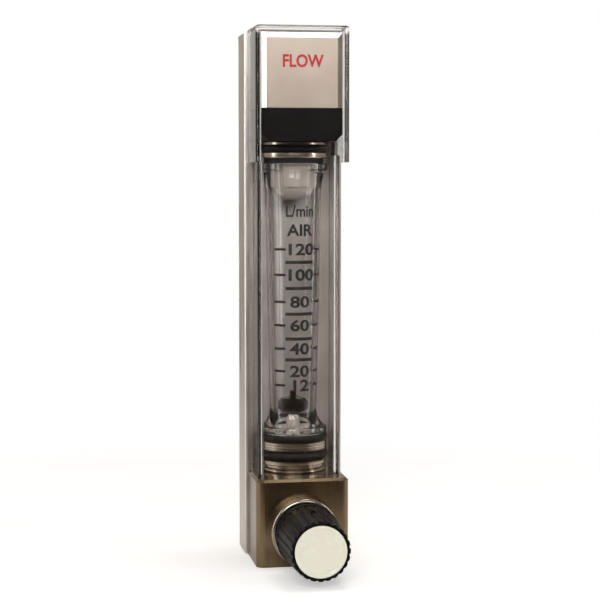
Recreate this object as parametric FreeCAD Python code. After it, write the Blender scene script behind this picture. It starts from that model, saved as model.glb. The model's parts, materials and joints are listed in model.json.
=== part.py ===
"""Glass-tube rotameter with a built-in needle valve, for mounting on a panel.

A tapered glass metering tube stands between two metal end blocks on an extruded aluminium channel. Gas comes in at
the back of the lower block, passes the needle valve, lifts the float in the tube and leaves at the back of the upper
block. A clear front cover guards the tube, and a clear cap covers the upper block with its label plate.

Millimetres. +Z is up and lies on the tube's axis, -Y is the front with the knob, +X is to the right seen from there.
The origin is on the underside of the lower block, straight below the tube.
"""

import FreeCAD
import Part
import math
import os

# Overall sizes. A cutting shape runs PAST the surface that it cuts, and CLEARANCE keeps loose neighbours apart.
HEIGHT = 218.0
BODY_HALF = 19.0
FRONT = -26.0
CORNER_R = 2.4
PAST = 1.0
CLEARANCE = 0.1

# Channel: an extruded U with its web at the back
MOUTH = -1.0
WEB_FRONT = 15.5
BACK = 18.0
CHANNEL_HALF = 20.3
CHANNEL_Z = (0.5, 216.5)
LEDGE_Y = (1.0, 2.2)
LEDGE_IN = 18.0
SLOTS_Z = ((76.2, 105.8), (130.9, 144.8))
SLOT_Y = (12.4, 15.0)

# Lower block
LOWER_TOP = 35.7
LOWER_CORNER_R = 3.2
LOWER_RIM = 1.0
LOWER_SPIGOT_Z = 29.5
VALVE_Z = 14.8

# Upper end
COLLAR_Z = (172.2, 185.3)
COLLAR_HALF = 16.4
COLLAR_FRONT = -23.4
UPPER_TOP = 215.4
UPPER_HALF = 16.6
UPPER_BEVEL = 2.2
OUTLET_Z = 200.0
OUTLET_R = 5.0
PLUG_R = 7.6
PLUG_RING_Z = 209.0
PLUG_RING = (7.0, 0.58)
PLATE_T = 0.4

# Clear cover and cap
COVER_HALF = 16.9
COVER_FRONT = -16.5
COVER_WALL = 1.6
COVER_TOP = 166.5
CAP_BOTTOM = 163.7
CAP_WALL = 1.9

# Glass tube: outer and bore radii at its narrow and wide ends, and the bell at each end
TUBE_Z = (51.5, 163.4)
TAPER_Z = (61.8, 153.0)
TUBE_R = (9.8, 11.7)
BORE_R = (6.9, 8.8)
BELL_R = 13.9
BELL_H = 3.1
BELL_MOUTH_R = (8.6, 9.4)
TUBE_STEP_Z = 153.7

# Seals and turned fittings on the tube's ends. The lower fitting's flange lies between LOWER_RING_Z's O-ring and
# the gasket; the upper fitting stands on its own gasket.
LOWER_RING_Z = 42.7
FAT_RING = (12.3, 2.2)
LOWER_FLANGE_Z = (45.0, 48.6)
UPPER_SEAT_Z = 165.5
UPPER_RING = (12.6, 1.72)
UPPER_RING_Z = 169.3
SPIGOT_TOP = 190.0
SPIGOT_R = 11.0
SEAL_GROOVE_R = 9.2
SEAL_RING = (10.12, 0.9)
LOWER_SEAL_Z = 32.3
UPPER_SEAL_Z = 187.5
SPIGOT_EDGE = 0.5
FIT_GAP = 0.05
THREAD_GAP = 0.03
THROAT_R = 7.6
FLANGE_R = 13.9

# Float and its travel
FLOAT_R = 6.3
FLOAT_Z = (58.35, 68.9)
STOP_Z = 58.3
UPPER_STOP_Z = 148.0

# Ports and fasteners
PORT_R = 7.6
PORT_DEPTH = 10.0
PORT_BOSS_R = 10.45
PORT_HOLE_R = 10.5
SCREW_R = 2.0
SCREW_HEAD_R = 3.6
SCREW_HEAD_H = 2.4
SCREW_X = 14.6
SCREW_LEN = 9.0

# Valve, on an axis along Y at VALVE_Z
SEAT_Y = (-1.5, 4.5)
SEAT_R = 2.6
CHAMBER_R = 6.5
RISER_R = 3.2
RISER_Y = -5.2
BONNET_R = 9.0
BONNET_END = -16.5
BONNET_SEAL = (9.2, 11.6, 0.6)
BOSS_R = 13.8
BOSS_FRONT = -31.5
GLAND_R = 7.0
GLAND_FRONT = -36.0
GLAND_RING_Y = -21.5
SPINDLE_RING = (3.83, 0.76)
SPINDLE_R = 3.0
SPINDLE_FRONT = -55.5
COLLET_R = 4.2
SPINDLE_COLLAR_Y = (-12.7, -7.7)
NEEDLE_NECK_R = 1.25
NEEDLE_NECK = 1.2
NEEDLE_HEAD_R = 1.9
NEEDLE_HEAD = 1.9
FLAT_Z = 17.3
KNOB_Y = (-65.5, -37.2)
KNOB_R = (11.7, 13.1)
KNOB_FLUTES = 24
GRUB_Y = -49.5
GRUB_R = 1.5
KNOB_CAP_R = 10.2
CAP_RECESS = 1.7


def vec(x, y, z):
    return FreeCAD.Vector(x, y, z)


X_AXIS, Y_AXIS, Z_AXIS = vec(1, 0, 0), vec(0, 1, 0), vec(0, 0, 1)


def box(x, y, z):
    """A block between the pairs x, y and z."""
    return Part.makeBox(x[1] - x[0], y[1] - y[0], z[1] - z[0], vec(x[0], y[0], z[0]))


def rod_z(r, z, x=0.0, y=0.0):
    return Part.makeCylinder(r, z[1] - z[0], vec(x, y, z[0]), Z_AXIS)


def rod_y(r, y, z=VALVE_Z, x=0.0):
    return Part.makeCylinder(r, y[1] - y[0], vec(x, y[0], z), Y_AXIS)


def cone_y(r, y, z=VALVE_Z, x=0.0):
    return Part.makeCone(r[0], r[1], y[1] - y[0], vec(x, y[0], z), Y_AXIS)


def outline(points, place):
    """A closed wire through the points. A point is (a, b), or (mid, end) where an arc through mid ends at end."""
    ends = [p[1] if isinstance(p[0], tuple) else p for p in points]
    edges = []
    for i, p in enumerate(points):
        start = ends[i - 1]
        if isinstance(p[0], tuple):
            edges.append(Part.Arc(place(start), place(p[0]), place(p[1])).toShape())
        elif math.dist(start, p) > 1e-6:
            edges.append(Part.LineSegment(place(start), place(p)).toShape())
    return Part.Wire(edges)


def turned_z(points):
    """A part turned about the Z axis from a profile of (radius, z)."""
    face = Part.Face(outline(points, lambda p: vec(p[0], 0, p[1])))
    return face.revolve(vec(0, 0, 0), Z_AXIS, 360)


def turned_y(points):
    """A part turned about the valve's axis from a profile of (radius, y)."""
    face = Part.Face(outline(points, lambda p: vec(p[0], p[1], VALVE_Z)))
    return face.revolve(vec(0, 0, VALVE_Z), Y_AXIS, 360)


def extruded_z(points, z):
    """A section of (x, y) points drawn out along Z."""
    face = Part.Face(outline(points, lambda p: vec(p[0], p[1], z[0])))
    return face.extrude(vec(0, 0, z[1] - z[0]))


def o_ring_z(ring_r, section_r, z):
    return Part.makeTorus(ring_r, section_r, vec(0, 0, z), Z_AXIS)


def o_ring_y(ring_r, section_r, y):
    return Part.makeTorus(ring_r, section_r, vec(0, y, VALVE_Z), Y_AXIS)


def edges_at(shape, test):
    """The straight edges whose middle passes the test."""
    return [e for e in shape.Edges if test(e.CenterOfMass, e.BoundBox)]


def upright(bounds):
    """True for an edge that runs along Z."""
    return bounds.ZLength > 1 and bounds.XLength < 1e-3 and bounds.YLength < 1e-3


def rounded_front(shape, radius, y):
    """Rounds the upright edges at the front plane y."""
    found = edges_at(shape, lambda c, b: upright(b) and abs(c.y - y) < 0.01)
    return shape.makeFillet(radius, found)


def arc_through(centre, radius, start_deg, end_deg):
    """An arc for outline(): (mid, end) about a centre."""
    at = [math.radians(a) for a in ((start_deg + end_deg) / 2, end_deg)]
    mid, end = [(centre[0] + radius * math.cos(a), centre[1] + radius * math.sin(a)) for a in at]
    return (mid, end)


# Frame


def screw_holes(z):
    """Clears two screws, and leaves room past their tips."""
    tip_room = 3.0
    return [rod_y(SCREW_R + FIT_GAP, (BACK - SCREW_LEN - tip_room, BACK + PAST), z, x) for x in (-SCREW_X, SCREW_X)]


def back_channel():
    """U extrusion: web, two flanges with a long groove outside, and an inner ledge that the cover stands on."""
    half, inner = CHANNEL_HALF, BODY_HALF
    groove_y, groove_depth, groove_side = (15.0, 16.4), 0.45, 0.3
    lip, rear_r = 0.4, 1.2
    right = [
        (inner, MOUTH),
        (half - lip, MOUTH),
        (half, MOUTH + lip),
        (half, groove_y[0]),
        (half - groove_depth, groove_y[0] + groove_side),
        (half - groove_depth, groove_y[1] - groove_side),
        (half, groove_y[1]),
        (half, BACK - rear_r),
        arc_through((half - rear_r, BACK - rear_r), rear_r, 0, 90),
    ]
    left = [
        (rear_r - half, BACK),
        arc_through((rear_r - half, BACK - rear_r), rear_r, 90, 180),
        (-half, groove_y[1]),
        (groove_depth - half, groove_y[1] - groove_side),
        (groove_depth - half, groove_y[0] + groove_side),
        (-half, groove_y[0]),
        (-half, MOUTH + lip),
        (lip - half, MOUTH),
        (-inner, MOUTH),
    ]
    inside_left = [
        (-inner, LEDGE_Y[0]),
        (-LEDGE_IN, LEDGE_Y[0]),
        (-LEDGE_IN, LEDGE_Y[1]),
        (-inner, LEDGE_Y[1]),
        (-inner, WEB_FRONT),
    ]
    inside_right = [(-x, y) for x, y in reversed(inside_left)]
    channel = extruded_z(right + left + inside_left + inside_right, CHANNEL_Z)
    cuts = screw_holes(VALVE_Z) + screw_holes(OUTLET_Z)
    cuts += [rod_y(PORT_HOLE_R, (WEB_FRONT - PAST, BACK + PAST), z) for z in (VALVE_Z, OUTLET_Z)]
    for z in SLOTS_Z:
        cuts.append(box((-half - PAST, half + PAST), SLOT_Y, z))
    return channel.cut(cuts)


def ledge_notches(z):
    """Clears the channel's inner ledges from a block that fills it."""
    y = (LEDGE_Y[0] - CLEARANCE, LEDGE_Y[1] + CLEARANCE)
    inner, outer = LEDGE_IN - CLEARANCE, BODY_HALF + PAST
    return [box(x, y, z) for x in ((-outer, -inner), (inner, outer))]


def port(z):
    """The threaded port's bore, at its minor diameter."""
    return rod_y(PORT_R, (BACK - PORT_DEPTH, BACK + PAST), z)


def lower_block():
    """Valve body: a square block with the tube seat on top, the inlet at the back and the valve bore in front."""
    block = box((-BODY_HALF, BODY_HALF), (FRONT, WEB_FRONT), (0, LOWER_TOP))
    block = rounded_front(block, LOWER_CORNER_R, FRONT)
    rim = edges_at(block, lambda c, b: b.ZLength < 1e-3 and c.y < MOUTH and c.z > LOWER_TOP - 1)
    block = block.makeChamfer(LOWER_RIM, rim)
    block = block.fuse(rod_y(PORT_BOSS_R, (WEB_FRONT, BACK)))
    seat_floor = LOWER_SPIGOT_Z - 2 * CLEARANCE
    cuts = [rod_z(SPIGOT_R + FIT_GAP, (seat_floor, LOWER_TOP + PAST))]
    cuts += [rod_z(RISER_R, (VALVE_Z, seat_floor + PAST), 0, RISER_Y)]
    cuts += [rod_y(BONNET_R, (FRONT - PAST, BONNET_END)), rod_y(CHAMBER_R, (BONNET_END - PAST, SEAT_Y[0]))]
    cuts += [rod_y(SEAT_R, (SEAT_Y[0] - PAST, SEAT_Y[1] + PAST))]
    cuts += [cone_y((SEAT_R, PORT_R), (SEAT_Y[1], BACK - PORT_DEPTH)), port(VALVE_Z)]
    return block.cut(cuts + screw_holes(VALVE_Z) + ledge_notches((-PAST, LOWER_TOP + PAST)))


def upper_block():
    """Outlet block: a wide back part in the channel, and a narrower front part with bevelled edges for the plate."""
    back_top = UPPER_TOP + 0.6
    back = box((-BODY_HALF, BODY_HALF), (MOUTH + CLEARANCE, WEB_FRONT), (COLLAR_Z[0], back_top))
    front_y = COLLAR_FRONT + PLATE_T
    front = box((-UPPER_HALF, UPPER_HALF), (front_y, MOUTH + 2 * CLEARANCE), (COLLAR_Z[1], UPPER_TOP))
    edges = edges_at(front, lambda c, b: abs(c.y - front_y) < 0.01 and c.z > COLLAR_Z[1] + 1)
    front = front.makeChamfer(UPPER_BEVEL, edges)
    block = back.fuse([front, rod_y(PORT_BOSS_R, (WEB_FRONT, BACK), OUTLET_Z)]).removeSplitter()
    low, high = COLLAR_Z[0] - PAST, back_top + PAST
    cuts = [rod_z(SPIGOT_R + FIT_GAP, (low, SPIGOT_TOP + 2 * CLEARANCE)), rod_z(PLUG_R, (SPIGOT_TOP, high))]
    cuts += [rod_y(OUTLET_R, (0, WEB_FRONT), OUTLET_Z), port(OUTLET_Z)]
    return block.cut(cuts + screw_holes(OUTLET_Z) + ledge_notches((low, high)))


def block_screws(z):
    """Two cross-recessed pan-head screws from behind, holding a block to the channel's web."""
    crown_r, recess_depth, recess_half = 1.2, 1.3, (2.1, 0.45)
    top = BACK + SCREW_HEAD_H
    made = []
    for x in (-SCREW_X, SCREW_X):
        screw = rod_y(SCREW_R, (BACK - SCREW_LEN, BACK), z, x)
        head = rod_y(SCREW_HEAD_R, (BACK, top), z, x)
        rim = edges_at(head, lambda c, b: abs(b.YMax - top) < 1e-3 and b.YLength < 1e-3)
        screw = screw.fuse(head.makeFillet(crown_r, rim))
        for dx, dz in (recess_half, recess_half[::-1]):
            screw = screw.cut(box((x - dx, x + dx), (top - recess_depth, top + PAST), (z - dz, z + dz)))
        made.append(screw)
    return Part.makeCompound(made)


# Clear mouldings and the upper trim


def front_cover():
    """Clear hat section: a flat front, two sides and feet that stand on the channel's ledges."""
    out, wall, foot = COVER_HALF, COVER_WALL, BODY_HALF - 1.5 * CLEARANCE
    inn, inner_r = out - wall, 1.0
    foot_y = (LEDGE_Y[0] - COVER_WALL, LEDGE_Y[0])
    front, r = COVER_FRONT, CORNER_R
    section = [
        (r - out, front),
        (out - r, front),
        arc_through((out - r, front + r), r, -90, 0),
        (out, foot_y[0]),
        (foot, foot_y[0]),
        (foot, foot_y[1]),
        (inn, foot_y[1]),
        (inn, front + wall + inner_r),
        arc_through((inn - inner_r, front + wall + inner_r), inner_r, 0, -90),
        (inner_r - inn, front + wall),
        arc_through((inner_r - inn, front + wall + inner_r), inner_r, -90, -180),
        (-inn, foot_y[1]),
        (-foot, foot_y[1]),
        (-foot, foot_y[0]),
        (-out, foot_y[0]),
        (-out, front + r),
        arc_through((r - out, front + r), r, 180, 270),
    ]
    return extruded_z(section, (LOWER_TOP, COVER_TOP))


def top_cap():
    """Clear cap, open at the back and below, that covers the upper block, its plate and the collar."""
    top_r, inner_r = 1.1, 0.7
    outer = box((-BODY_HALF, BODY_HALF), (FRONT, MOUTH), (CAP_BOTTOM, HEIGHT))
    outer = rounded_front(outer, CORNER_R, FRONT)
    rim = edges_at(outer, lambda c, b: abs(c.z - HEIGHT) < 1e-3 and b.ZLength < 1e-3 and c.y < MOUTH - 0.1)
    outer = outer.makeFillet(top_r, rim)
    half = BODY_HALF - CAP_WALL
    hollow = box((-half, half), (FRONT + CAP_WALL, MOUTH + PAST), (CAP_BOTTOM - PAST, HEIGHT - CAP_WALL))
    return outer.cut(rounded_front(hollow, inner_r, FRONT + CAP_WALL))


def label_plate():
    """Thin bare plate between the bevels of the upper block's front."""
    corner_r = 0.6
    half = UPPER_HALF - UPPER_BEVEL - CLEARANCE
    y = (COLLAR_FRONT, COLLAR_FRONT + PLATE_T)
    plate = box((-half, half), y, (COLLAR_Z[1] + CLEARANCE, UPPER_TOP - UPPER_BEVEL - CLEARANCE))
    return plate.makeFillet(corner_r, edges_at(plate, lambda c, b: abs(b.YLength - PLATE_T) < 1e-3))


def upper_collar():
    """Black moulded collar under the upper block, bored for the upper fitting, its lower corners cut away."""
    cut_away, corner_r = 2.8, 0.9
    half, front, back = COLLAR_HALF, COLLAR_FRONT, MOUTH
    collar = box((-half, half), (front, back), COLLAR_Z)
    low = edges_at(collar, lambda c, b: abs(c.z - COLLAR_Z[0]) < 1e-3 and abs(abs(c.x) - half) < 1e-3)
    collar = collar.makeChamfer(cut_away, low)
    collar = rounded_front(collar, corner_r, front)
    return collar.cut(rod_z(SPIGOT_R + FIT_GAP, (COLLAR_Z[0] - PAST, COLLAR_Z[1] + PAST)))


# Metering tube with its fittings, seals and stops


def metering_tube():
    """Borosilicate tube: an evenly tapered bore, drawn out to a thick bell at each end."""
    low, high = TUBE_Z
    t0, t1 = TAPER_Z
    edge_r, shoulder_r, mouth_r = 0.4, 0.8, BELL_MOUTH_R
    rim = BELL_R - edge_r
    shoulder = BELL_R - shoulder_r
    profile = [
        (mouth_r[0], low),
        (rim, low),
        arc_through((rim, low + edge_r), edge_r, -90, 0),
        (BELL_R, low + BELL_H - shoulder_r),
        arc_through((shoulder, low + BELL_H - shoulder_r), shoulder_r, 0, 80),
        ((TUBE_R[0] + 1.0, t0 - 4.3), (TUBE_R[0], t0)),
        (TUBE_R[1], t1),
        ((TUBE_R[1] + 0.65, t1 + 4.2), (shoulder + 0.1, high - BELL_H + 0.1)),
        arc_through((shoulder, high - BELL_H + shoulder_r + 0.1), shoulder_r, -80, 0),
        (BELL_R, high - edge_r),
        arc_through((rim, high - edge_r), edge_r, 0, 90),
        (mouth_r[1], high),
        (mouth_r[1], TUBE_STEP_Z),
        (BORE_R[1], TUBE_STEP_Z),
        (BORE_R[1], t1),
        (BORE_R[0], t0 - 3.0),
        ((BORE_R[0] + 0.35, t0 - 6.2), (mouth_r[0], low + 0.5)),
    ]
    return turned_z(profile)


def seal_groove(z):
    """The two faces of a spigot's groove for the seal ring at z."""
    half = SEAL_RING[1] + 4 * FIT_GAP
    return (z - half, z + half)


def lower_fitting():
    """Turned seat for the tube: a spigot in the lower block, a groove for the fat O-ring and a flat top."""
    base_r, core_r = 13.6, FAT_RING[0] - FAT_RING[1] - FIT_GAP
    foot, edge, rim = LOWER_SPIGOT_Z, SPIGOT_EDGE, 0.4
    neck_z, neck_depth, neck_slope = (37.8, 38.5), 0.9, 0.5
    ring_floor = LOWER_RING_Z - FAT_RING[1] - 2 * FIT_GAP
    groove = seal_groove(LOWER_SEAL_Z)
    low, high = LOWER_FLANGE_Z
    profile = [
        (THROAT_R, foot),
        (SPIGOT_R - edge, foot),
        (SPIGOT_R, foot + edge),
        (SPIGOT_R, groove[0]),
        (SEAL_GROOVE_R, groove[0]),
        (SEAL_GROOVE_R, groove[1]),
        (SPIGOT_R, groove[1]),
        (SPIGOT_R, LOWER_TOP),
        (base_r - edge, LOWER_TOP),
        (base_r, LOWER_TOP + edge),
        (base_r, neck_z[0] - neck_slope),
        (base_r - neck_depth, neck_z[0]),
        (base_r - neck_depth, neck_z[1]),
        (base_r, neck_z[1] + neck_slope),
        (base_r, ring_floor),
        (core_r, ring_floor),
        (core_r, low),
        (FLANGE_R, low),
        (FLANGE_R, high - rim),
        (FLANGE_R - rim, high),
        (THROAT_R, high),
    ]
    return turned_z(profile)


def lower_tube_gasket():
    """Soft gasket under the glass, squeezed out to a round edge."""
    low, high = LOWER_FLANGE_Z[1], TUBE_Z[0]
    bulge_r, edge_r, inner_r = BELL_R + 0.5, BELL_R - 0.1, BELL_MOUTH_R[0]
    bulge = ((bulge_r, (low + high) / 2), (edge_r, high))
    return turned_z([(inner_r, low), (edge_r, low), bulge, (inner_r, high)])


def lower_float_stop():
    """Four-finned pillar pushed into the lower fitting: gas passes between the fins, the float rests on the tip."""
    low, fin_top = 37.5, 52.5
    pillar_r, fin_half, fin_r = 3.0, 0.8, THROAT_R - 0.03
    cone = [(pillar_r, STOP_Z - 2.6), (1.9, STOP_Z - 0.5), (1.3, STOP_Z)]
    pillar = turned_z([(0, low), (pillar_r, low), *cone, (0, STOP_Z)])
    reach = (-THROAT_R - PAST, THROAT_R + PAST)
    thick = (-fin_half, fin_half)
    fins = box(reach, thick, (low, fin_top)).fuse(box(thick, reach, (low, fin_top)))
    fins = fins.common(rod_z(fin_r, (low - PAST, fin_top + PAST)))
    return pillar.fuse(fins).removeSplitter()


def metering_float():
    """Turned float: a bevelled reading head on a short stem, with a small finger on top."""
    low, high = FLOAT_Z
    head = (61.7, 64.4)
    stem_r, finger_r, edge = 2.6, 1.4, 0.4
    profile = [
        (0, low),
        (stem_r - 2 * edge, low),
        (stem_r, low + 2 * edge),
        (FLOAT_R - 1.4, head[0] - 1.3),
        (FLOAT_R, head[0]),
        (FLOAT_R, head[1]),
        (FLOAT_R - 1.3, head[1] + 1.5),
        (finger_r + 0.8, head[1] + 2.2),
        (finger_r, head[1] + 2.7),
        (finger_r, high - edge),
        (finger_r - edge, high),
        (0, high),
    ]
    return turned_z(profile)


def upper_float_stop():
    """Moulded stop with a domed nose, a shoulder on the tube's step, a centre hole and four flutes for the gas."""
    shoulder, top = TUBE_STEP_Z + FIT_GAP, UPPER_SEAT_Z - FIT_GAP
    hole_r, nose_r, body_r = 2.0, BORE_R[1] - 0.35, BELL_MOUTH_R[1] - CLEARANCE
    nose = ((nose_r * 0.8, UPPER_STOP_Z + 2.0), (nose_r, UPPER_STOP_Z + 5.3))
    profile = [(hole_r, UPPER_STOP_Z + 0.25), nose, (nose_r, shoulder)]
    profile += [(body_r, shoulder), (body_r, top), (hole_r, top)]
    flute_r, flute_reach = 2.1, nose_r + 0.6
    flutes = []
    for i in range(4):
        a = math.radians(45 + 90 * i)
        x, y = flute_reach * math.cos(a), flute_reach * math.sin(a)
        flutes.append(rod_z(flute_r, (UPPER_STOP_Z - PAST, top + PAST), x, y))
    return turned_z(profile).cut(flutes)


def upper_tube_gasket():
    """Flat washer between the tube's top and the upper fitting."""
    inner_r, outer_r = BELL_MOUTH_R[1] + CLEARANCE, 12.6
    return rod_z(outer_r, (TUBE_Z[1], UPPER_SEAT_Z)).cut(rod_z(inner_r, (TUBE_Z[1] - PAST, UPPER_SEAT_Z + PAST)))


def upper_fitting():
    """Turned cap for the tube's top: a groove for its O-ring, and a spigot through the collar into the block."""
    core_r, bore_r = UPPER_RING[0] - UPPER_RING[1] - FIT_GAP, 5.2
    lower_r, upper_r, edge = FLANGE_R + 0.2, FLANGE_R - 0.3, 0.4
    half = UPPER_RING[1] + FIT_GAP
    ring = (UPPER_RING_Z - half, UPPER_RING_Z + half)
    groove = seal_groove(UPPER_SEAL_Z)
    seat, top = COLLAR_Z[0], SPIGOT_TOP
    profile = [
        (bore_r, UPPER_SEAT_Z),
        (lower_r - edge, UPPER_SEAT_Z),
        (lower_r, UPPER_SEAT_Z + edge),
        (lower_r, ring[0]),
        (core_r, ring[0]),
        (core_r, ring[1]),
        (upper_r, ring[1]),
        (upper_r, seat - edge),
        (upper_r - edge, seat),
        (SPIGOT_R, seat),
        (SPIGOT_R, groove[0]),
        (SEAL_GROOVE_R, groove[0]),
        (SEAL_GROOVE_R, groove[1]),
        (SPIGOT_R, groove[1]),
        (SPIGOT_R, top - SPIGOT_EDGE),
        (SPIGOT_R - SPIGOT_EDGE, top),
        (bore_r, top),
    ]
    return turned_z(profile)


def hexagon_z(across, z, x=0.0, y=0.0):
    """A hexagonal prism along Z, for a socket."""
    r = across / math.sqrt(3)
    ring = [vec(x + r * math.cos(a), y + r * math.sin(a), z[0]) for a in [math.pi / 3 * i for i in range(7)]]
    return Part.Face(Part.makePolygon(ring)).extrude(vec(0, 0, z[1] - z[0]))


def clamp_plug():
    """Threaded plug in the top of the upper block whose windowed skirt presses the upper fitting on to the tube."""
    low, top = SPIGOT_TOP, UPPER_TOP - 1.0
    skirt, thread, bore = 7.1, PLUG_R - THREAD_GAP, 5.6
    head, edge = top - 8.4, 0.5
    groove_r, groove_half = 6.4, 0.9
    profile = [
        (bore, low),
        (skirt, low),
        (skirt, head),
        (thread, head + edge),
        (thread, PLUG_RING_Z - groove_half),
        (groove_r, PLUG_RING_Z - groove_half),
        (groove_r, PLUG_RING_Z + groove_half),
        (thread, PLUG_RING_Z + groove_half),
        (thread, top - edge),
        (thread - edge, top),
        (0, top),
        (0, head - edge),
        (bore, head - edge),
    ]
    window_r, reach = 4.6, PLUG_R + PAST
    across, socket_depth = 8.0, 4.0
    cuts = [rod_y(window_r, (-reach, reach), OUTLET_Z), hexagon_z(across, (top - socket_depth, top + PAST))]
    cuts.append(Part.makeCylinder(window_r, 2 * reach, vec(-reach, 0, OUTLET_Z), X_AXIS))
    return turned_z(profile).cut(cuts)


# Needle valve


def valve_bonnet():
    """Round boss on the block's front with a threaded shank behind and a gland in front, bored for the spindle."""
    bore, thread = SPINDLE_R + FIT_GAP, BONNET_R - THREAD_GAP
    end_edge, boss_edge, gland_edge = 0.5, 1.2, 0.6
    seal_in, seal_out, seal_depth = BONNET_SEAL
    groove_r, groove_half = 4.6, 1.0
    profile = [
        (bore, BONNET_END),
        (thread - end_edge, BONNET_END),
        (thread, BONNET_END - end_edge),
        (thread, FRONT),
        (seal_in, FRONT),
        (seal_in, FRONT - seal_depth),
        (seal_out, FRONT - seal_depth),
        (seal_out, FRONT),
        (BOSS_R, FRONT),
        (BOSS_R, BOSS_FRONT + boss_edge),
        arc_through((BOSS_R - boss_edge, BOSS_FRONT + boss_edge), boss_edge, 0, -90),
        (GLAND_R, BOSS_FRONT),
        (GLAND_R, GLAND_FRONT + gland_edge),
        (GLAND_R - gland_edge, GLAND_FRONT),
        (bore, GLAND_FRONT),
        (bore, GLAND_RING_Y - groove_half),
        (groove_r, GLAND_RING_Y - groove_half),
        (groove_r, GLAND_RING_Y + groove_half),
        (bore, GLAND_RING_Y + groove_half),
    ]
    return turned_y(profile)


def bonnet_seal():
    """Flat ring that seals the bonnet against the block's front."""
    inner_r, outer_r = BONNET_SEAL[0] + FIT_GAP, BONNET_SEAL[1] - FIT_GAP
    face = FRONT + FIT_GAP - BONNET_SEAL[2]
    return rod_y(outer_r, (face, FRONT)).cut(rod_y(inner_r, (face - PAST, FRONT + PAST)))


def valve_spindle():
    """Spindle with a collar behind the bonnet that stops it coming out, and a socket that holds the needle."""
    edge = 0.4
    rear, collar = SPINDLE_COLLAR_Y[1], SPINDLE_COLLAR_Y[0]
    neck_r, neck_y = NEEDLE_NECK_R + FIT_GAP, rear - NEEDLE_NECK
    head_r, head_y = NEEDLE_HEAD_R + CLEARANCE, neck_y - NEEDLE_HEAD - CLEARANCE
    profile = [
        (0, SPINDLE_FRONT),
        (SPINDLE_R - edge, SPINDLE_FRONT),
        (SPINDLE_R, SPINDLE_FRONT + edge),
        (SPINDLE_R, collar),
        (COLLET_R, collar),
        (COLLET_R, rear - edge),
        (COLLET_R - edge, rear),
        (neck_r, rear),
        (neck_r, neck_y),
        (head_r, neck_y),
        (head_r, head_y),
        (0, head_y),
    ]
    flat_y = (SPINDLE_FRONT - PAST, GLAND_FRONT - 2.0)
    flat = box((-SPINDLE_R, SPINDLE_R), flat_y, (FLAT_Z, VALVE_Z + SPINDLE_R + PAST))
    return turned_y(profile).cut(flat)


def valve_needle():
    """Needle held in the spindle's socket by its head, free to turn, so that it does not scrape the seat."""
    rear = SPINDLE_COLLAR_Y[1]
    neck_y = rear - NEEDLE_NECK - FIT_GAP
    head_y = neck_y - NEEDLE_HEAD
    body_r, body_y = 3.2, rear + 2 * CLEARANCE
    tip_r, cone_y_start, tip_y = 0.8, SEAT_Y[0] - 1.5, SEAT_Y[0] + 4.0
    profile = [
        (0, head_y),
        (NEEDLE_HEAD_R, head_y),
        (NEEDLE_HEAD_R, neck_y),
        (NEEDLE_NECK_R, neck_y),
        (NEEDLE_NECK_R, body_y),
        (body_r, body_y),
        (body_r, cone_y_start),
        (tip_r, tip_y),
        (0, tip_y),
    ]
    return turned_y(profile)


def control_knob():
    """Tapered fluted knob, recessed in front for its cap and hollow behind to clear the gland."""
    front, rear = KNOB_Y
    r0, r1 = KNOB_R
    hollow_r, hollow_y = GLAND_R + 1.2, rear - 7.0
    bore, bore_end = SPINDLE_R + 0.02, SPINDLE_FRONT - 0.3
    recess_r, recess_y = KNOB_CAP_R + CLEARANCE, front + CAP_RECESS
    edge, skirt = 0.55, 2.0
    profile = [
        (0, recess_y),
        (recess_r, recess_y),
        (recess_r, front + 0.25),
        (recess_r + 0.35, front),
        (r0 - edge, front),
        (r0, front + edge),
        (r1 - 0.25, rear - skirt - edge),
        (r1, rear - skirt),
        (r1, rear - edge),
        (r1 - edge, rear),
        (hollow_r, rear),
        (hollow_r, hollow_y),
        (bore, hollow_y),
        (bore, bore_end),
        (0, bore_end),
    ]
    knob = turned_y(profile)
    tilt = math.degrees(math.atan2(r1 - r0, rear - front))
    flute_r, depth, length = 0.95, 0.55, rear - front - 1.6 * skirt
    flute = Part.makeCylinder(flute_r, length + 2 * PAST, vec(0, front - 2 * PAST, VALVE_Z), Y_AXIS)
    flute = flute.fuse(Part.makeSphere(flute_r, vec(0, front + length, VALVE_Z)))
    flute.rotate(vec(0, front, VALVE_Z), X_AXIS, tilt)
    flute.translate(vec(0, 0, r0 + flute_r - depth))
    cutters = []
    for i in range(KNOB_FLUTES):
        one = flute.copy()
        one.rotate(vec(0, 0, VALVE_Z), Y_AXIS, 360.0 / KNOB_FLUTES * (i + 0.5))
        cutters.append(one)
    knob = knob.cut(cutters)
    return knob.cut(rod_z(GRUB_R, (VALVE_Z, VALVE_Z + 2 * r1), 0, GRUB_Y))


def knob_cap():
    """Pale disc pushed into the knob's front, with a shallow dished face and a raised rim."""
    front, rim_y = KNOB_Y[0], KNOB_Y[0] - 0.3
    rear, dish_y = front + CAP_RECESS - FIT_GAP, front - FIT_GAP
    profile = [
        (0, rear),
        (KNOB_CAP_R, rear),
        (KNOB_CAP_R, front),
        (KNOB_CAP_R - 0.35, rim_y),
        (KNOB_CAP_R - 0.9, rim_y),
        (KNOB_CAP_R - 1.3, dish_y),
        (0, dish_y),
    ]
    return turned_y(profile)


def knob_grub_screw():
    """Socket screw that locks the knob on the spindle's flat."""
    length, across, socket_z = 5.0, 1.5, FLAT_Z + 3.2
    screw = rod_z(GRUB_R - THREAD_GAP, (FLAT_Z, FLAT_Z + length), 0, GRUB_Y)
    return screw.cut(hexagon_z(across, (socket_z, FLAT_Z + length + PAST), 0, GRUB_Y))


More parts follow.
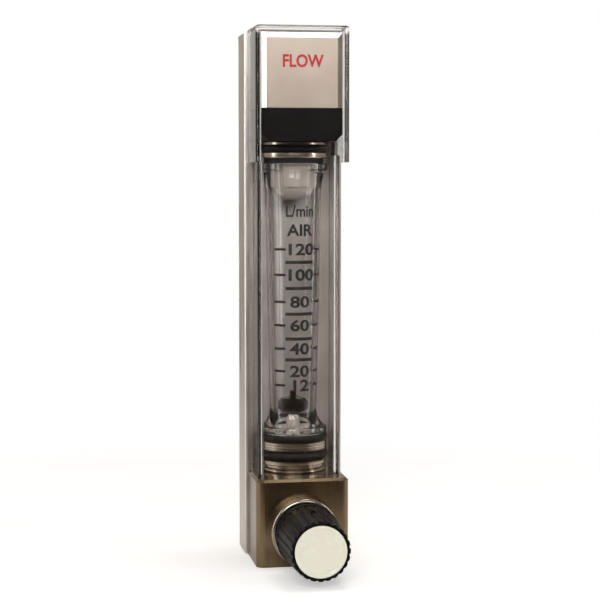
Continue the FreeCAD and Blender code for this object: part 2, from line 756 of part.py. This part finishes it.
def build():
    """Every node's name and shape."""
    return {
        "back_channel": back_channel(),
        "lower_block": lower_block(),
        "upper_block": upper_block(),
        "lower_block_screws": block_screws(VALVE_Z),
        "upper_block_screws": block_screws(OUTLET_Z),
        "front_cover": front_cover(),
        "top_cap": top_cap(),
        "label_plate": label_plate(),
        "upper_collar": upper_collar(),
        "metering_tube": metering_tube(),
        "metering_float": metering_float(),
        "lower_float_stop": lower_float_stop(),
        "upper_float_stop": upper_float_stop(),
        "lower_fitting": lower_fitting(),
        "lower_fitting_o_ring": o_ring_z(*FAT_RING, LOWER_RING_Z),
        "lower_tube_gasket": lower_tube_gasket(),
        "lower_spigot_o_ring": o_ring_z(*SEAL_RING, LOWER_SEAL_Z),
        "upper_fitting": upper_fitting(),
        "upper_fitting_o_ring": o_ring_z(*UPPER_RING, UPPER_RING_Z),
        "upper_tube_gasket": upper_tube_gasket(),
        "upper_spigot_o_ring": o_ring_z(*SEAL_RING, UPPER_SEAL_Z),
        "clamp_plug": clamp_plug(),
        "clamp_plug_o_ring": o_ring_z(*PLUG_RING, PLUG_RING_Z),
        "valve_bonnet": valve_bonnet(),
        "bonnet_seal": bonnet_seal(),
        "spindle_o_ring": o_ring_y(*SPINDLE_RING, GLAND_RING_Y),
        "valve_spindle": valve_spindle(),
        "valve_needle": valve_needle(),
        "control_knob": control_knob(),
        "knob_cap": knob_cap(),
        "knob_grub_screw": knob_grub_screw(),
    }


def main():
    os.makedirs("parts", exist_ok=True)
    for name, shape in build().items():
        if not shape.isValid():
            raise RuntimeError(name + " is not a valid solid")
        shape.exportStep(os.path.join("parts", name + ".step"))
        print(f"{name}: {len(shape.Solids)} solid(s), {shape.Volume / 1000:.2f} cm3, {len(shape.Faces)} faces")


main()
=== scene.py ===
import json
import math

import bpy
from mathutils import Matrix, Vector


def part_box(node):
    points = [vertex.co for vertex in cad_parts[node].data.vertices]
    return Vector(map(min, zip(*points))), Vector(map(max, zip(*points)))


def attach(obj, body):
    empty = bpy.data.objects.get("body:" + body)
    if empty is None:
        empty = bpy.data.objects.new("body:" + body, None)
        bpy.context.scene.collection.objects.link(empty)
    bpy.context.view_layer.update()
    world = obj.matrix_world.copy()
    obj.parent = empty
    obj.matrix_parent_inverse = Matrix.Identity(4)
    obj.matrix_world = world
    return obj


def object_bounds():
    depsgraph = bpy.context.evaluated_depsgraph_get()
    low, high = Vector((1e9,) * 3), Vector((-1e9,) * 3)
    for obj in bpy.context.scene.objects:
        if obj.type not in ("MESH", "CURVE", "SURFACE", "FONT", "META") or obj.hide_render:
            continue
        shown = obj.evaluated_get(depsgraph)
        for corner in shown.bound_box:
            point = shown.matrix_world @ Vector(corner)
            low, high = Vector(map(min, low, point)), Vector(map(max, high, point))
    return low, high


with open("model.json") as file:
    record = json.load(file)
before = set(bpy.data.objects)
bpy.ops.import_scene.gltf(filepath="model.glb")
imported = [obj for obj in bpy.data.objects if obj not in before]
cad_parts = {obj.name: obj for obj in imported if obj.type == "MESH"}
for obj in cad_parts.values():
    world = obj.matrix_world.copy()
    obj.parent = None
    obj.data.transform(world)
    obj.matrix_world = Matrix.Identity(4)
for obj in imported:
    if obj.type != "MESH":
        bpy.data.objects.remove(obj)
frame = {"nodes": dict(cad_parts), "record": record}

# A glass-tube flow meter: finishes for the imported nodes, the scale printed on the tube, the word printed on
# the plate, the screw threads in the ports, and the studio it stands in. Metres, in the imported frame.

MM = 0.001
cad_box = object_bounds()

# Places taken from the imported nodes
TUBE_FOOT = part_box("metering_tube")[0].z
PLATE_LOW, PLATE_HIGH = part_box("label_plate")
CHANNEL_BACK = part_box("back_channel")[1].y
KNOB_LOW, KNOB_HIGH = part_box("control_knob")
VALVE_Z = (KNOB_LOW.z + KNOB_HIGH.z) / 2
PORTS = {m["name"]: m for m in frame["record"]["mounts"] if m["kind"] == "threaded_hole"}

# The tube's outside between its bells: two heights above its foot, and the radius at each
TAPER_Z = (TUBE_FOOT + 10.3 * MM, TUBE_FOOT + 101.5 * MM)
TAPER_R = (9.8 * MM, 11.7 * MM)

# Print: the film's thickness, and how far its middle stands off the glass, so that the two never touch
INK = 0.05 * MM
INK_STANDS_OFF = 0.7 * INK
# A letter is drawn 1 unit high before it is scaled. Its half thickness, and the gap its joints close over
LETTER_HALF_DEPTH = 0.001
LETTER_WELD = 0.0002
# A finished print or thread closes over this gap
WELD = 0.002 * MM
# A print is cut into strips of this width before it bends, and so many each side of the middle
STRIP = 0.7 * MM
STRIPS_EACH_SIDE = 20

# The scale, in mm: what each line says and its height, and for words their stretch and weight too. Marks
# stand at the figures' heights, and bars halfway between them.
FIGURES = (
    ("120", 128.2), ("100", 117.7), ("80", 106.6), ("60", 96.9), ("40", 87.2), ("20", 77.9), ("12", 72.0),
)
UNITS = (("L/min", 143.9, 0.84, 0.018), ("AIR", 136.1, 1.05, 0.024))
BAR_HEIGHTS = (122.9, 112.2, 101.6, 91.3, 82.7)
FIGURE_HEIGHT = 4.9
FIGURE_STRETCH = 1.3
FIGURE_WEIGHT = 0.03
# Where the middle of each stands across the front, and its half width and half height, in mm
FIGURE_X = 1.2
BAR = (6.1, 0.66)
LEFT_X, LEFT_MARK = -7.6, (2.7, 0.5)
RIGHT_X, RIGHT_MARK = 10.2, (2.3, 0.5)
# A line joins the right marks, from the third figure up to the first
LINE_X, LINE_HALF_WIDTH = 9.7, 0.32
LINE_FIGURES = (2, 0)

# The word on the plate: its height in mm, stretch and weight, and how far up the plate it stands
PLATE_WORD = ("FLOW", 5.2, 0.86, 0.03)
PLATE_WORD_RISE = 0.67

# Port threads: a ridge that stands in from the bore and is rooted a little outside it. Half its width is a
# share of the pitch.
THREAD_PITCH = 1.337 * MM
THREAD_CREST = 0.45 * MM
THREAD_ROOT = 0.1 * MM
THREAD_HALF_WIDTH = 0.45
THREAD_TURNS = 7
THREAD_STEPS = 40


# Materials


def linear(code):
    """A colour written as sRGB hex, in the linear values that shaders take."""
    parts = [int(code[i:i + 2], 16) / 255 for i in (1, 3, 5)]
    parts = [c / 12.92 if c <= 0.04045 else ((c + 0.055) / 1.055) ** 2.4 for c in parts]
    return (*parts, 1.0)


def add(tree, kind, inputs=None, **settings):
    """Adds a shader node. inputs maps a socket's name or number to a value or to another node's output."""
    made = tree.nodes.new("ShaderNode" + kind)
    for key, value in settings.items():
        setattr(made, key, value)
    for key, value in (inputs or {}).items():
        if isinstance(value, bpy.types.NodeSocket):
            tree.links.new(value, made.inputs[key])
        else:
            made.inputs[key].default_value = value
    return made


def new_material(name):
    made = bpy.data.materials.new(name)
    made.use_nodes = True
    made.node_tree.nodes.clear()
    return made, made.node_tree


def pattern(tree, size_mm, stretch=(1.0, 1.0, 1.0), detail=3.0):
    """Uneven pattern on the object's coordinates: size_mm across, and longer where stretch is under 1."""
    place = add(tree, "TexCoord").outputs["Object"]
    place = add(tree, "Mapping", {"Vector": place, "Scale": stretch}).outputs["Vector"]
    noise = add(tree, "TexNoise", {"Vector": place, "Scale": 1 / (size_mm * MM), "Detail": detail})
    return noise.outputs["Fac"]


def varied(tree, fac, dark, light, roughness):
    """Colour and roughness that go from one value to the other with the middle part of a pattern."""
    middle = {"Value": fac, "From Min": 0.3, "From Max": 0.7}
    share = add(tree, "MapRange", middle).outputs["Result"]
    colour = add(tree, "Mix", {0: share, 6: linear(dark), 7: linear(light)}, data_type="RGBA")
    rough = add(tree, "MapRange", {**middle, "To Min": roughness[0], "To Max": roughness[1]})
    return {"Base Color": colour.outputs[2], "Roughness": rough.outputs["Result"]}


def drawn_metal(name, dark, light, roughness, line_mm, stretch, depth_mm, cloud_mm=18.0):
    """Metal with fine straight lines and a slow cloudiness over them. stretch is small along the lines. The
    true lines are about 0.1 mm wide, too fine to show, so they are drawn three to five times that."""
    made, tree = new_material(name)
    lines = pattern(tree, line_mm, stretch, detail=4.0)
    cloud = pattern(tree, cloud_mm)
    total = add(tree, "Math", {0: lines, 1: cloud}, operation="ADD").outputs[0]
    mean = add(tree, "Math", {0: total, 1: 0.5}, operation="MULTIPLY").outputs[0]
    bump = add(tree, "Bump", {"Height": lines, "Distance": depth_mm * MM, "Strength": 1.0})
    shader = add(tree, "BsdfPrincipled", {
        **varied(tree, mean, dark, light, roughness),
        "Metallic": 1.0,
        "Normal": bump.outputs["Normal"],
    })
    add(tree, "OutputMaterial", {"Surface": shader.outputs[0]})
    return made


def turned_metal(name, dark, light, roughness, axis, centre):
    """Metal off a lathe: rings round the axis through centre, from the tool's feed of about 0.15 mm. They
    are drawn 0.35 mm wide, because the true ones are too fine to show."""
    made, tree = new_material(name)
    place = add(tree, "TexCoord").outputs["Object"]
    place = add(tree, "VectorMath", {0: place, 1: centre}, operation="SUBTRACT").outputs[0]
    split = add(tree, "SeparateXYZ", {0: place}).outputs
    across = [split["XYZ".index(c)] for c in "XYZ" if c != axis]
    flat = add(tree, "CombineXYZ", {0: across[0], 1: across[1]}).outputs[0]
    reach = add(tree, "VectorMath", {0: flat}, operation="LENGTH").outputs["Value"]
    along = split["XYZ".index(axis)]
    place = add(tree, "CombineXYZ", {0: reach, 1: along}).outputs[0]
    rings = add(tree, "TexNoise", {"Vector": place, "Scale": 1 / (0.35 * MM), "Detail": 2.0}).outputs["Fac"]
    bump = add(tree, "Bump", {"Height": rings, "Distance": 0.004 * MM, "Strength": 1.0})
    shader = add(tree, "BsdfPrincipled", {
        **varied(tree, rings, dark, light, roughness),
        "Metallic": 1.0,
        "Normal": bump.outputs["Normal"],
    })
    add(tree, "OutputMaterial", {"Surface": shader.outputs[0]})
    return made


def moulded(name, dark, light, roughness, grain_mm, depth_mm, ior=1.5, specular=0.5, subsurface=0.0):
    """Plastic or rubber with a faint grain in the height, and slow changes of colour and gloss. The true
    grain is about 0.1 mm across, and is drawn coarser to show."""
    made, tree = new_material(name)
    grain = pattern(tree, grain_mm, detail=4.0)
    cloud = pattern(tree, 9.0)
    bump = add(tree, "Bump", {"Height": grain, "Distance": depth_mm * MM, "Strength": 1.0})
    shader = add(tree, "BsdfPrincipled", {
        **varied(tree, cloud, dark, light, roughness),
        "IOR": ior,
        "Specular IOR Level": specular,
        "Subsurface Weight": subsurface,
        "Subsurface Radius": (1.2 * MM, 1.0 * MM, 0.8 * MM),
        "Subsurface Scale": 1.0,
        "Normal": bump.outputs["Normal"],
    })
    add(tree, "OutputMaterial", {"Surface": shader.outputs[0]})
    return made


def clear(name, tint, roughness, ior, wave_mm):
    """Clear glass or plastic with slow, shallow waves in its surface. It lets the lamps' light through to
    what it covers."""
    made, tree = new_material(name)
    waves = pattern(tree, wave_mm, detail=1.0)
    bump = add(tree, "Bump", {"Height": waves, "Distance": 0.008 * MM, "Strength": 1.0})
    body = add(tree, "BsdfPrincipled", {
        "Base Color": linear(tint),
        "Roughness": roughness,
        "IOR": ior,
        "Transmission Weight": 1.0,
        "Normal": bump.outputs["Normal"],
    })
    open_way = add(tree, "BsdfTransparent", {"Color": linear(tint)})
    shadow = add(tree, "LightPath").outputs["Is Shadow Ray"]
    mixed = add(tree, "MixShader", {0: shadow, 1: body.outputs[0], 2: open_way.outputs[0]})
    add(tree, "OutputMaterial", {"Surface": mixed.outputs[0]})
    return made


def printed(name, thin, full):
    """Screen-printed ink: matt, and a little uneven where the film lies thinner."""
    made, tree = new_material(name)
    film = pattern(tree, 0.6)
    bump = add(tree, "Bump", {"Height": film, "Distance": 0.01 * MM, "Strength": 1.0})
    shader = add(tree, "BsdfPrincipled", {
        **varied(tree, film, thin, full, (0.45, 0.6)),
        "Normal": bump.outputs["Normal"],
    })
    add(tree, "OutputMaterial", {"Surface": shader.outputs[0]})
    return made


# Satin anodised aluminium, extruded: long die lines along Z, a soft grey sheen
ANODISED = drawn_metal(
    "satin_anodised_aluminium", "#CDC5BE", "#E6E0DA", (0.30, 0.42), 0.5, (1, 1, 0.02), 0.006,
)
# Satin nickel plate on milled brass, fine upright brushing: warm grey, painted darker and browner than the
# upper block's plate as a painted reflection of brown surroundings
NICKEL_PAINTED_BROWN_REFLECTION = drawn_metal(
    "satin_nickel_painted_brown_reflection", "#77654F", "#998467", (0.16, 0.26), 0.35, (1, 1, 0.04), 0.004,
)
# The same plate on the upper block, in its own pale grey, without the lower one's painted brown reflection
PALE_NICKEL = drawn_metal(
    "pale_nickel_plated_brass", "#A49C93", "#C2BBB2", (0.16, 0.26), 0.35, (1, 1, 0.04), 0.004,
)
# Brushed aluminium sheet: faint lines across the plate, and small clouds
PLATE = drawn_metal(
    "brushed_aluminium_sheet", "#B9AB9E", "#C3B6AA", (0.30, 0.35), 0.3, (0.04, 1, 1), 0.0005, cloud_mm=7.0,
)
# Turned brass with nickel plate: bright rings round the tube's axis, and round the valve's
TURNED_Z = turned_metal("turned_nickel_fitting", "#968B7C", "#CDC4B6", (0.14, 0.28), "Z", (0, 0, 0))
TURNED_Y = turned_metal("turned_nickel_valve", "#968B7C", "#CDC4B6", (0.16, 0.30), "Y", (0, 0, VALVE_Z))
# Zinc-plated steel, cold-formed: pale and bright, slightly uneven all ways
ZINC = drawn_metal(
    "zinc_plated_steel", "#A9A9A4", "#CFCFCB", (0.20, 0.34), 0.4, (1, 1, 1), 0.004, cloud_mm=2.0,
)
# Moulded acrylic: clear and glossy, with slow waves from the mould
ACRYLIC = clear("clear_moulded_acrylic", "#FCFBFA", 0.015, 1.49, 14.0)
# Drawn borosilicate glass: clearer and harder, with longer waves from the drawing
GLASS = clear("borosilicate_glass", "#FDFDFD", 0.0, 1.47, 22.0)
# Moulded nylon, black: satin, with a faint grain and a weak gloss
NYLON = moulded("black_moulded_nylon", "#040304", "#080707", (0.34, 0.46), 0.35, 0.006, specular=0.12)
# Turned acetal, black: smooth and glossy
ACETAL = moulded("black_turned_acetal", "#060505", "#0D0A0B", (0.16, 0.26), 0.3, 0.002)
# Turned PTFE: waxy and dull, a light grey that leans to beige
PTFE = moulded("white_turned_ptfe", "#968D86", "#AAA29B", (0.35, 0.5), 0.4, 0.004, ior=1.35, subsurface=0.1)
# Moulded nitrile rubber: dull black with a faint bloom
RUBBER = moulded("black_nitrile_rubber", "#040404", "#0B0A0A", (0.42, 0.58), 0.3, 0.006, specular=0.25)
# Moulded ABS, white: smooth and slightly creamy
ABS = moulded("white_moulded_abs", "#EDEAD8", "#F0EDDD", (0.22, 0.32), 0.5, 0.003)
# Screen-printed inks: black on the glass and red on the plate, each paler where the film is thin
BLACK_INK = printed("black_scale_ink", "#1A1616", "#0B0909")
RED_INK = printed("red_plate_ink", "#C22A2A", "#A81E22")

FINISHES = {
    "channel_aluminium": ANODISED,
    "satin_steel": NICKEL_PAINTED_BROWN_REFLECTION,
    "turned_steel": TURNED_Z,
    "screw_steel": ZINC,
    "clear_acrylic": ACRYLIC,
    "plate_aluminium": PLATE,
    "black_nylon": NYLON,
    "tube_glass": GLASS,
    "black_float": ACETAL,
    "pale_ptfe": PTFE,
    "black_rubber": RUBBER,
    "knob_disc_white": ABS,
}
# Nodes whose finish isn't their slot's
OWN_FINISHES = {
    "upper_block": PALE_NICKEL,
    "valve_bonnet": TURNED_Y,
    "valve_spindle": TURNED_Y,
    "valve_needle": TURNED_Y,
}


def dress_nodes():
    """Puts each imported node's finish in its material slots."""
    for part in frame["record"]["subparts"]:
        name = part["node"]
        chosen = OWN_FINISHES.get(name, FINISHES[part["material_slot"]])
        for slot in frame["nodes"][name].material_slots:
            slot.material = chosen


# Pieces


def only(piece):
    """Makes the piece the one that is selected and active."""
    bpy.ops.object.select_all(action="DESELECT")
    piece.select_set(True)
    bpy.context.view_layer.objects.active = piece


def join(parts, name):
    """Joins the parts into one piece of that name."""
    only(parts[0])
    for part in parts:
        part.select_set(True)
    bpy.ops.object.join()
    joined = bpy.context.active_object
    joined.name = name
    joined.data.name = name
    return joined


def close_up(gap):
    """Merges points nearer than the gap, turns all faces outwards and leaves edit mode."""
    bpy.ops.mesh.select_all(action="SELECT")
    bpy.ops.mesh.remove_doubles(threshold=gap)
    bpy.ops.mesh.normals_make_consistent(inside=False)
    bpy.ops.object.mode_set(mode="OBJECT")


def lettering(text, height_mm, stretch, weight):
    """A flat word in the XZ plane, centred on the origin and facing -Y, as thick as the print's film."""
    bpy.ops.object.select_all(action="DESELECT")
    bpy.ops.object.text_add(align="WORLD", location=(0, 0, 0))
    word = bpy.context.active_object
    word.data.body = text
    word.data.align_x = "CENTER"
    word.data.size = 1.0
    word.data.resolution_u = 4
    word.data.extrude = LETTER_HALF_DEPTH
    word.data.offset = weight
    bpy.ops.object.convert(target="MESH")
    word = bpy.context.active_object
    bpy.ops.object.mode_set(mode="EDIT")
    close_up(LETTER_WELD)
    low = min(v.co.y for v in word.data.vertices)
    high = max(v.co.y for v in word.data.vertices)
    scale = height_mm * MM / (high - low)
    word.data.transform(Matrix.Translation((0, -(low + high) / 2, 0)))
    word.data.transform(Matrix.Diagonal((scale * stretch, scale, INK / (2 * LETTER_HALF_DEPTH), 1)))
    word.data.transform(Matrix.Rotation(math.radians(90), 4, "X"))
    return word


def bar(x_mm, z_mm, half_width_mm, half_height_mm):
    """A printed bar in the XZ plane, as thick as the print's film."""
    bpy.ops.object.select_all(action="DESELECT")
    bpy.ops.mesh.primitive_cube_add(size=1.0, location=(0, 0, 0))
    made = bpy.context.active_object
    made.data.transform(Matrix.Diagonal((2 * half_width_mm * MM, INK, 2 * half_height_mm * MM, 1)))
    made.data.transform(Matrix.Translation((x_mm * MM, 0, z_mm * MM)))
    return made


def sliced(piece):
    """Cuts the piece into upright strips, so that it can bend round the tube."""
    only(piece)
    bpy.ops.object.mode_set(mode="EDIT")
    for i in range(-STRIPS_EACH_SIDE, STRIPS_EACH_SIDE + 1):
        bpy.ops.mesh.select_all(action="SELECT")
        bpy.ops.mesh.bisect(plane_co=(i * STRIP, 0, 0), plane_no=(1, 0, 0))
    close_up(WELD)


def tube_radius(z):
    share = (z - TAPER_Z[0]) / (TAPER_Z[1] - TAPER_Z[0])
    return TAPER_R[0] + share * (TAPER_R[1] - TAPER_R[0])


def wrapped(piece):
    """Bends a flat print round the tube's front: its x becomes the way round, and its y the depth."""
    for v in piece.data.vertices:
        r = tube_radius(v.co.z) + INK_STANDS_OFF - v.co.y
        turn = v.co.x / r
        v.co = Vector((r * math.sin(turn), -r * math.cos(turn), v.co.z))
    piece.data.update()


def put_on(piece, finish, body):
    piece.data.materials.clear()
    piece.data.materials.append(finish)
    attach(piece, body)


def print_scale():
    """Figures, bars between them, short marks at both sides and a line that joins the upper right marks."""
    words = []
    rows = UNITS + tuple((text, z, FIGURE_STRETCH, FIGURE_WEIGHT) for text, z in FIGURES)
    for text, z, stretch, weight in rows:
        word = lettering(text, FIGURE_HEIGHT, stretch, weight)
        word.data.transform(Matrix.Translation((FIGURE_X * MM, 0, z * MM)))
        words.append(word)
    figures = join(words, "scale_figures")
    bars = [bar(FIGURE_X, z, *BAR) for z in BAR_HEIGHTS]
    for _, z in FIGURES:
        bars.append(bar(LEFT_X, z, *LEFT_MARK))
        bars.append(bar(RIGHT_X, z, *RIGHT_MARK))
    low, high = (FIGURES[i][1] for i in LINE_FIGURES)
    bars.append(bar(LINE_X, (low + high) / 2, LINE_HALF_WIDTH, (high - low) / 2))
    marks = join(bars, "scale_marks")
    for piece in (figures, marks):
        sliced(piece)
        wrapped(piece)
        put_on(piece, BLACK_INK, "meter_body")


def print_plate():
    """A plain word in red, a little above the middle of the plate."""
    word = lettering(*PLATE_WORD)
    middle_z = PLATE_LOW.z + PLATE_WORD_RISE * (PLATE_HIGH.z - PLATE_LOW.z)
    word.data.transform(Matrix.Translation((0, PLATE_LOW.y - INK, middle_z)))
    word.name = "plate_word"
    put_on(word, RED_INK, "meter_body")


def port_thread(name, mount):
    """The screw thread in a port: a V-shaped ridge wound along the bore, up to its mouth."""
    x, _, z = mount["pos_m"]
    bore = mount["dims"]["r_mm"] * MM
    root, crest = bore + THREAD_ROOT, bore - THREAD_CREST
    bpy.ops.object.select_all(action="DESELECT")
    bpy.ops.mesh.primitive_circle_add(vertices=3, location=(0, 0, 0), calc_uvs=False)
    ridge = bpy.context.active_object
    ridge.name = name
    ridge.data.name = name
    profile = ((root, THREAD_HALF_WIDTH), (crest, 0.0), (root, -THREAD_HALF_WIDTH))
    for corner, (radius, share) in zip(ridge.data.vertices, profile):
        corner.co = (radius, 0, share * THREAD_PITCH)
    screw = ridge.modifiers.new("thread", "SCREW")
    screw.axis = "Z"
    screw.screw_offset = THREAD_PITCH
    screw.iterations = THREAD_TURNS
    screw.steps = screw.render_steps = THREAD_STEPS
    screw.use_merge_vertices = False
    bpy.ops.object.modifier_apply(modifier=screw.name)
    bpy.ops.object.mode_set(mode="EDIT")
    bpy.ops.mesh.select_all(action="DESELECT")
    bpy.ops.mesh.select_non_manifold()
    bpy.ops.mesh.edge_face_add()
    close_up(WELD)
    inner_end = CHANNEL_BACK - (THREAD_TURNS + 1) * THREAD_PITCH
    ridge.data.transform(Matrix.Rotation(math.radians(-90), 4, "X"))
    ridge.data.transform(Matrix.Translation((x, inner_end, z)))
    put_on(ridge, NICKEL_PAINTED_BROWN_REFLECTION, "meter_body")


# Studio

WHITE = linear("#FFFFFF")
# A long lens, slightly left of the front and a little above
LENS_MM = 99.0
NEAREST_SEEN = 0.05
CAMERA_PLACE = Vector((-0.114, -0.6765, 0.159))
CAMERA_TARGET = Vector((0.001, -0.012, 0.1075))
# The floor: its width, how far it lies under the object, how much its colour is lifted near the object, and
# the distances from the origin between which it turns white
FLOOR_WIDTH = 12.0
FLOOR_GAP = 0.05 * MM
FLOOR_LIFT = 0.36
FLOOR_TURNS_WHITE = (0.08, 0.3)
# The dark table that gloss sees ahead of the object: the two y between which it comes in
TABLE_COMES_IN = (-0.05, -0.2)
# The room's colour goes from the front's to the sides' between these y of the direction looked in
ROOM_TURNS = (-0.9, 0.15)
# Lamps: name, place, what it faces (mostly the object's middle), width and height, watts
MIDDLE = (0, 0, 0.11)
LAMPS = (
    ("key_box", (-0.25, -0.95, 0.6), MIDDLE, (0.45, 0.45), 4.8),
    ("front_box", (0.2, -0.9, 0.45), (0, 0, 0.15), (0.3, 0.2), 0.9),
    ("left_strip", (-0.75, -0.15, 0.2), MIDDLE, (0.12, 0.9), 1.8),
    ("right_strip", (0.7, -0.35, 0.2), MIDDLE, (0.1, 0.9), 1.8),
    ("top_box", (0.14, 0.05, 1.0), MIDDLE, (0.35, 0.3), 1.9),
)


def stand(name, data, place, target):
    """Puts a lamp or a camera at a place, turned to the target."""
    made = bpy.data.objects.new(name, data)
    bpy.context.scene.collection.objects.link(made)
    made.location = place
    made.rotation_euler = (Vector(target) - Vector(place)).to_track_quat("-Z", "Y").to_euler()
    return made


def camera():
    lens = bpy.data.cameras.new("camera")
    lens.lens = LENS_MM
    lens.clip_start = NEAREST_SEEN
    bpy.context.scene.camera = stand("camera", lens, CAMERA_PLACE, CAMERA_TARGET)


def lamp(name, place, target, size, watts):
    """A soft box that faces the target."""
    light = bpy.data.lights.new(name, "AREA")
    light.shape = "RECTANGLE"
    light.size, light.size_y = size
    light.energy = watts
    stand(name, light, place, target)


def seen_directly(tree):
    """1 for what the camera sees, straight or through clear pieces, and 0 for what a reflection shows."""
    paths = add(tree, "LightPath").outputs
    bounces = add(tree, "Math", {0: paths["Glossy Depth"], 1: paths["Diffuse Depth"]}, operation="ADD")
    none = add(tree, "Math", {0: bounces.outputs[0], 1: 0.5}, operation="LESS_THAN").outputs[0]
    through = add(tree, "Math", {0: paths["Is Transmission Ray"], 1: none}, operation="MULTIPLY")
    either = {0: paths["Is Camera Ray"], 1: through.outputs[0]}
    return add(tree, "Math", either, operation="MAXIMUM").outputs[0]


def floor():
    """A pale floor that keeps the shadow, white further off. Gloss sees a dark table before the object."""
    bpy.ops.object.select_all(action="DESELECT")
    bpy.ops.mesh.primitive_plane_add(size=FLOOR_WIDTH, location=(0, 0, cad_box[0][2] - FLOOR_GAP))
    ground = bpy.context.active_object
    ground.name = "floor"
    made, tree = new_material("pale_floor")
    place = add(tree, "TexCoord").outputs["Object"]
    pale = add(tree, "BsdfDiffuse", {"Color": linear("#F4F3F1")}).outputs[0]
    white = add(tree, "Emission", {"Color": WHITE, "Strength": 1.0}).outputs[0]
    lift = add(tree, "Emission", {"Color": WHITE, "Strength": FLOOR_LIFT}).outputs[0]
    near = add(tree, "AddShader", {0: pale, 1: lift}).outputs[0]
    reach = add(tree, "VectorMath", {0: place}, operation="LENGTH").outputs["Value"]
    start, end = FLOOR_TURNS_WHITE
    away = add(tree, "MapRange", {"Value": reach, "From Min": start, "From Max": end}).outputs["Result"]
    seen = add(tree, "MixShader", {0: away, 1: near, 2: white}).outputs[0]
    lit = add(tree, "MixShader", {0: seen_directly(tree), 1: pale, 2: seen}).outputs[0]
    table = add(tree, "BsdfDiffuse", {"Color": linear("#402E17")}).outputs[0]
    along = add(tree, "SeparateXYZ", {0: place}).outputs["Y"]
    start, end = TABLE_COMES_IN
    ahead = add(tree, "MapRange", {"Value": along, "From Min": start, "From Max": end}).outputs["Result"]
    glossy = add(tree, "LightPath").outputs["Is Glossy Ray"]
    mirrored = add(tree, "Math", {0: ahead, 1: glossy}, operation="MULTIPLY").outputs[0]
    surface = add(tree, "MixShader", {0: mirrored, 1: lit, 2: table})
    add(tree, "OutputMaterial", {"Surface": surface.outputs[0]})
    ground.data.materials.append(made)


def studio():
    """White behind the object, a room that is dimmer and warmer in front of it, and the lamps."""
    world = bpy.data.worlds.new("studio")
    bpy.context.scene.world = world
    world.use_nodes = True
    tree = world.node_tree
    tree.nodes.clear()
    way = add(tree, "SeparateXYZ", {0: add(tree, "TexCoord").outputs["Generated"]}).outputs
    turn = {"Value": way[1], "From Min": ROOM_TURNS[0], "From Max": ROOM_TURNS[1]}
    side = add(tree, "MapRange", turn, interpolation_type="SMOOTHSTEP").outputs[0]
    room = add(tree, "Mix", {0: side, 6: linear("#2E2824"), 7: linear("#B0AAA4")}, data_type="RGBA")
    colour = add(tree, "Mix", {0: seen_directly(tree), 6: room.outputs[2], 7: WHITE}, data_type="RGBA")
    back = add(tree, "Background", {"Color": colour.outputs[2], "Strength": 1.0})
    add(tree, "OutputWorld", {"Surface": back.outputs[0]})
    for settings in LAMPS:
        lamp(*settings)
    bpy.context.scene.view_settings.view_transform = "Standard"


camera()
dress_nodes()
print_scale()
print_plate()
for port_name, port_mount in PORTS.items():
    port_thread(port_name + "_thread", port_mount)
floor()
studio()
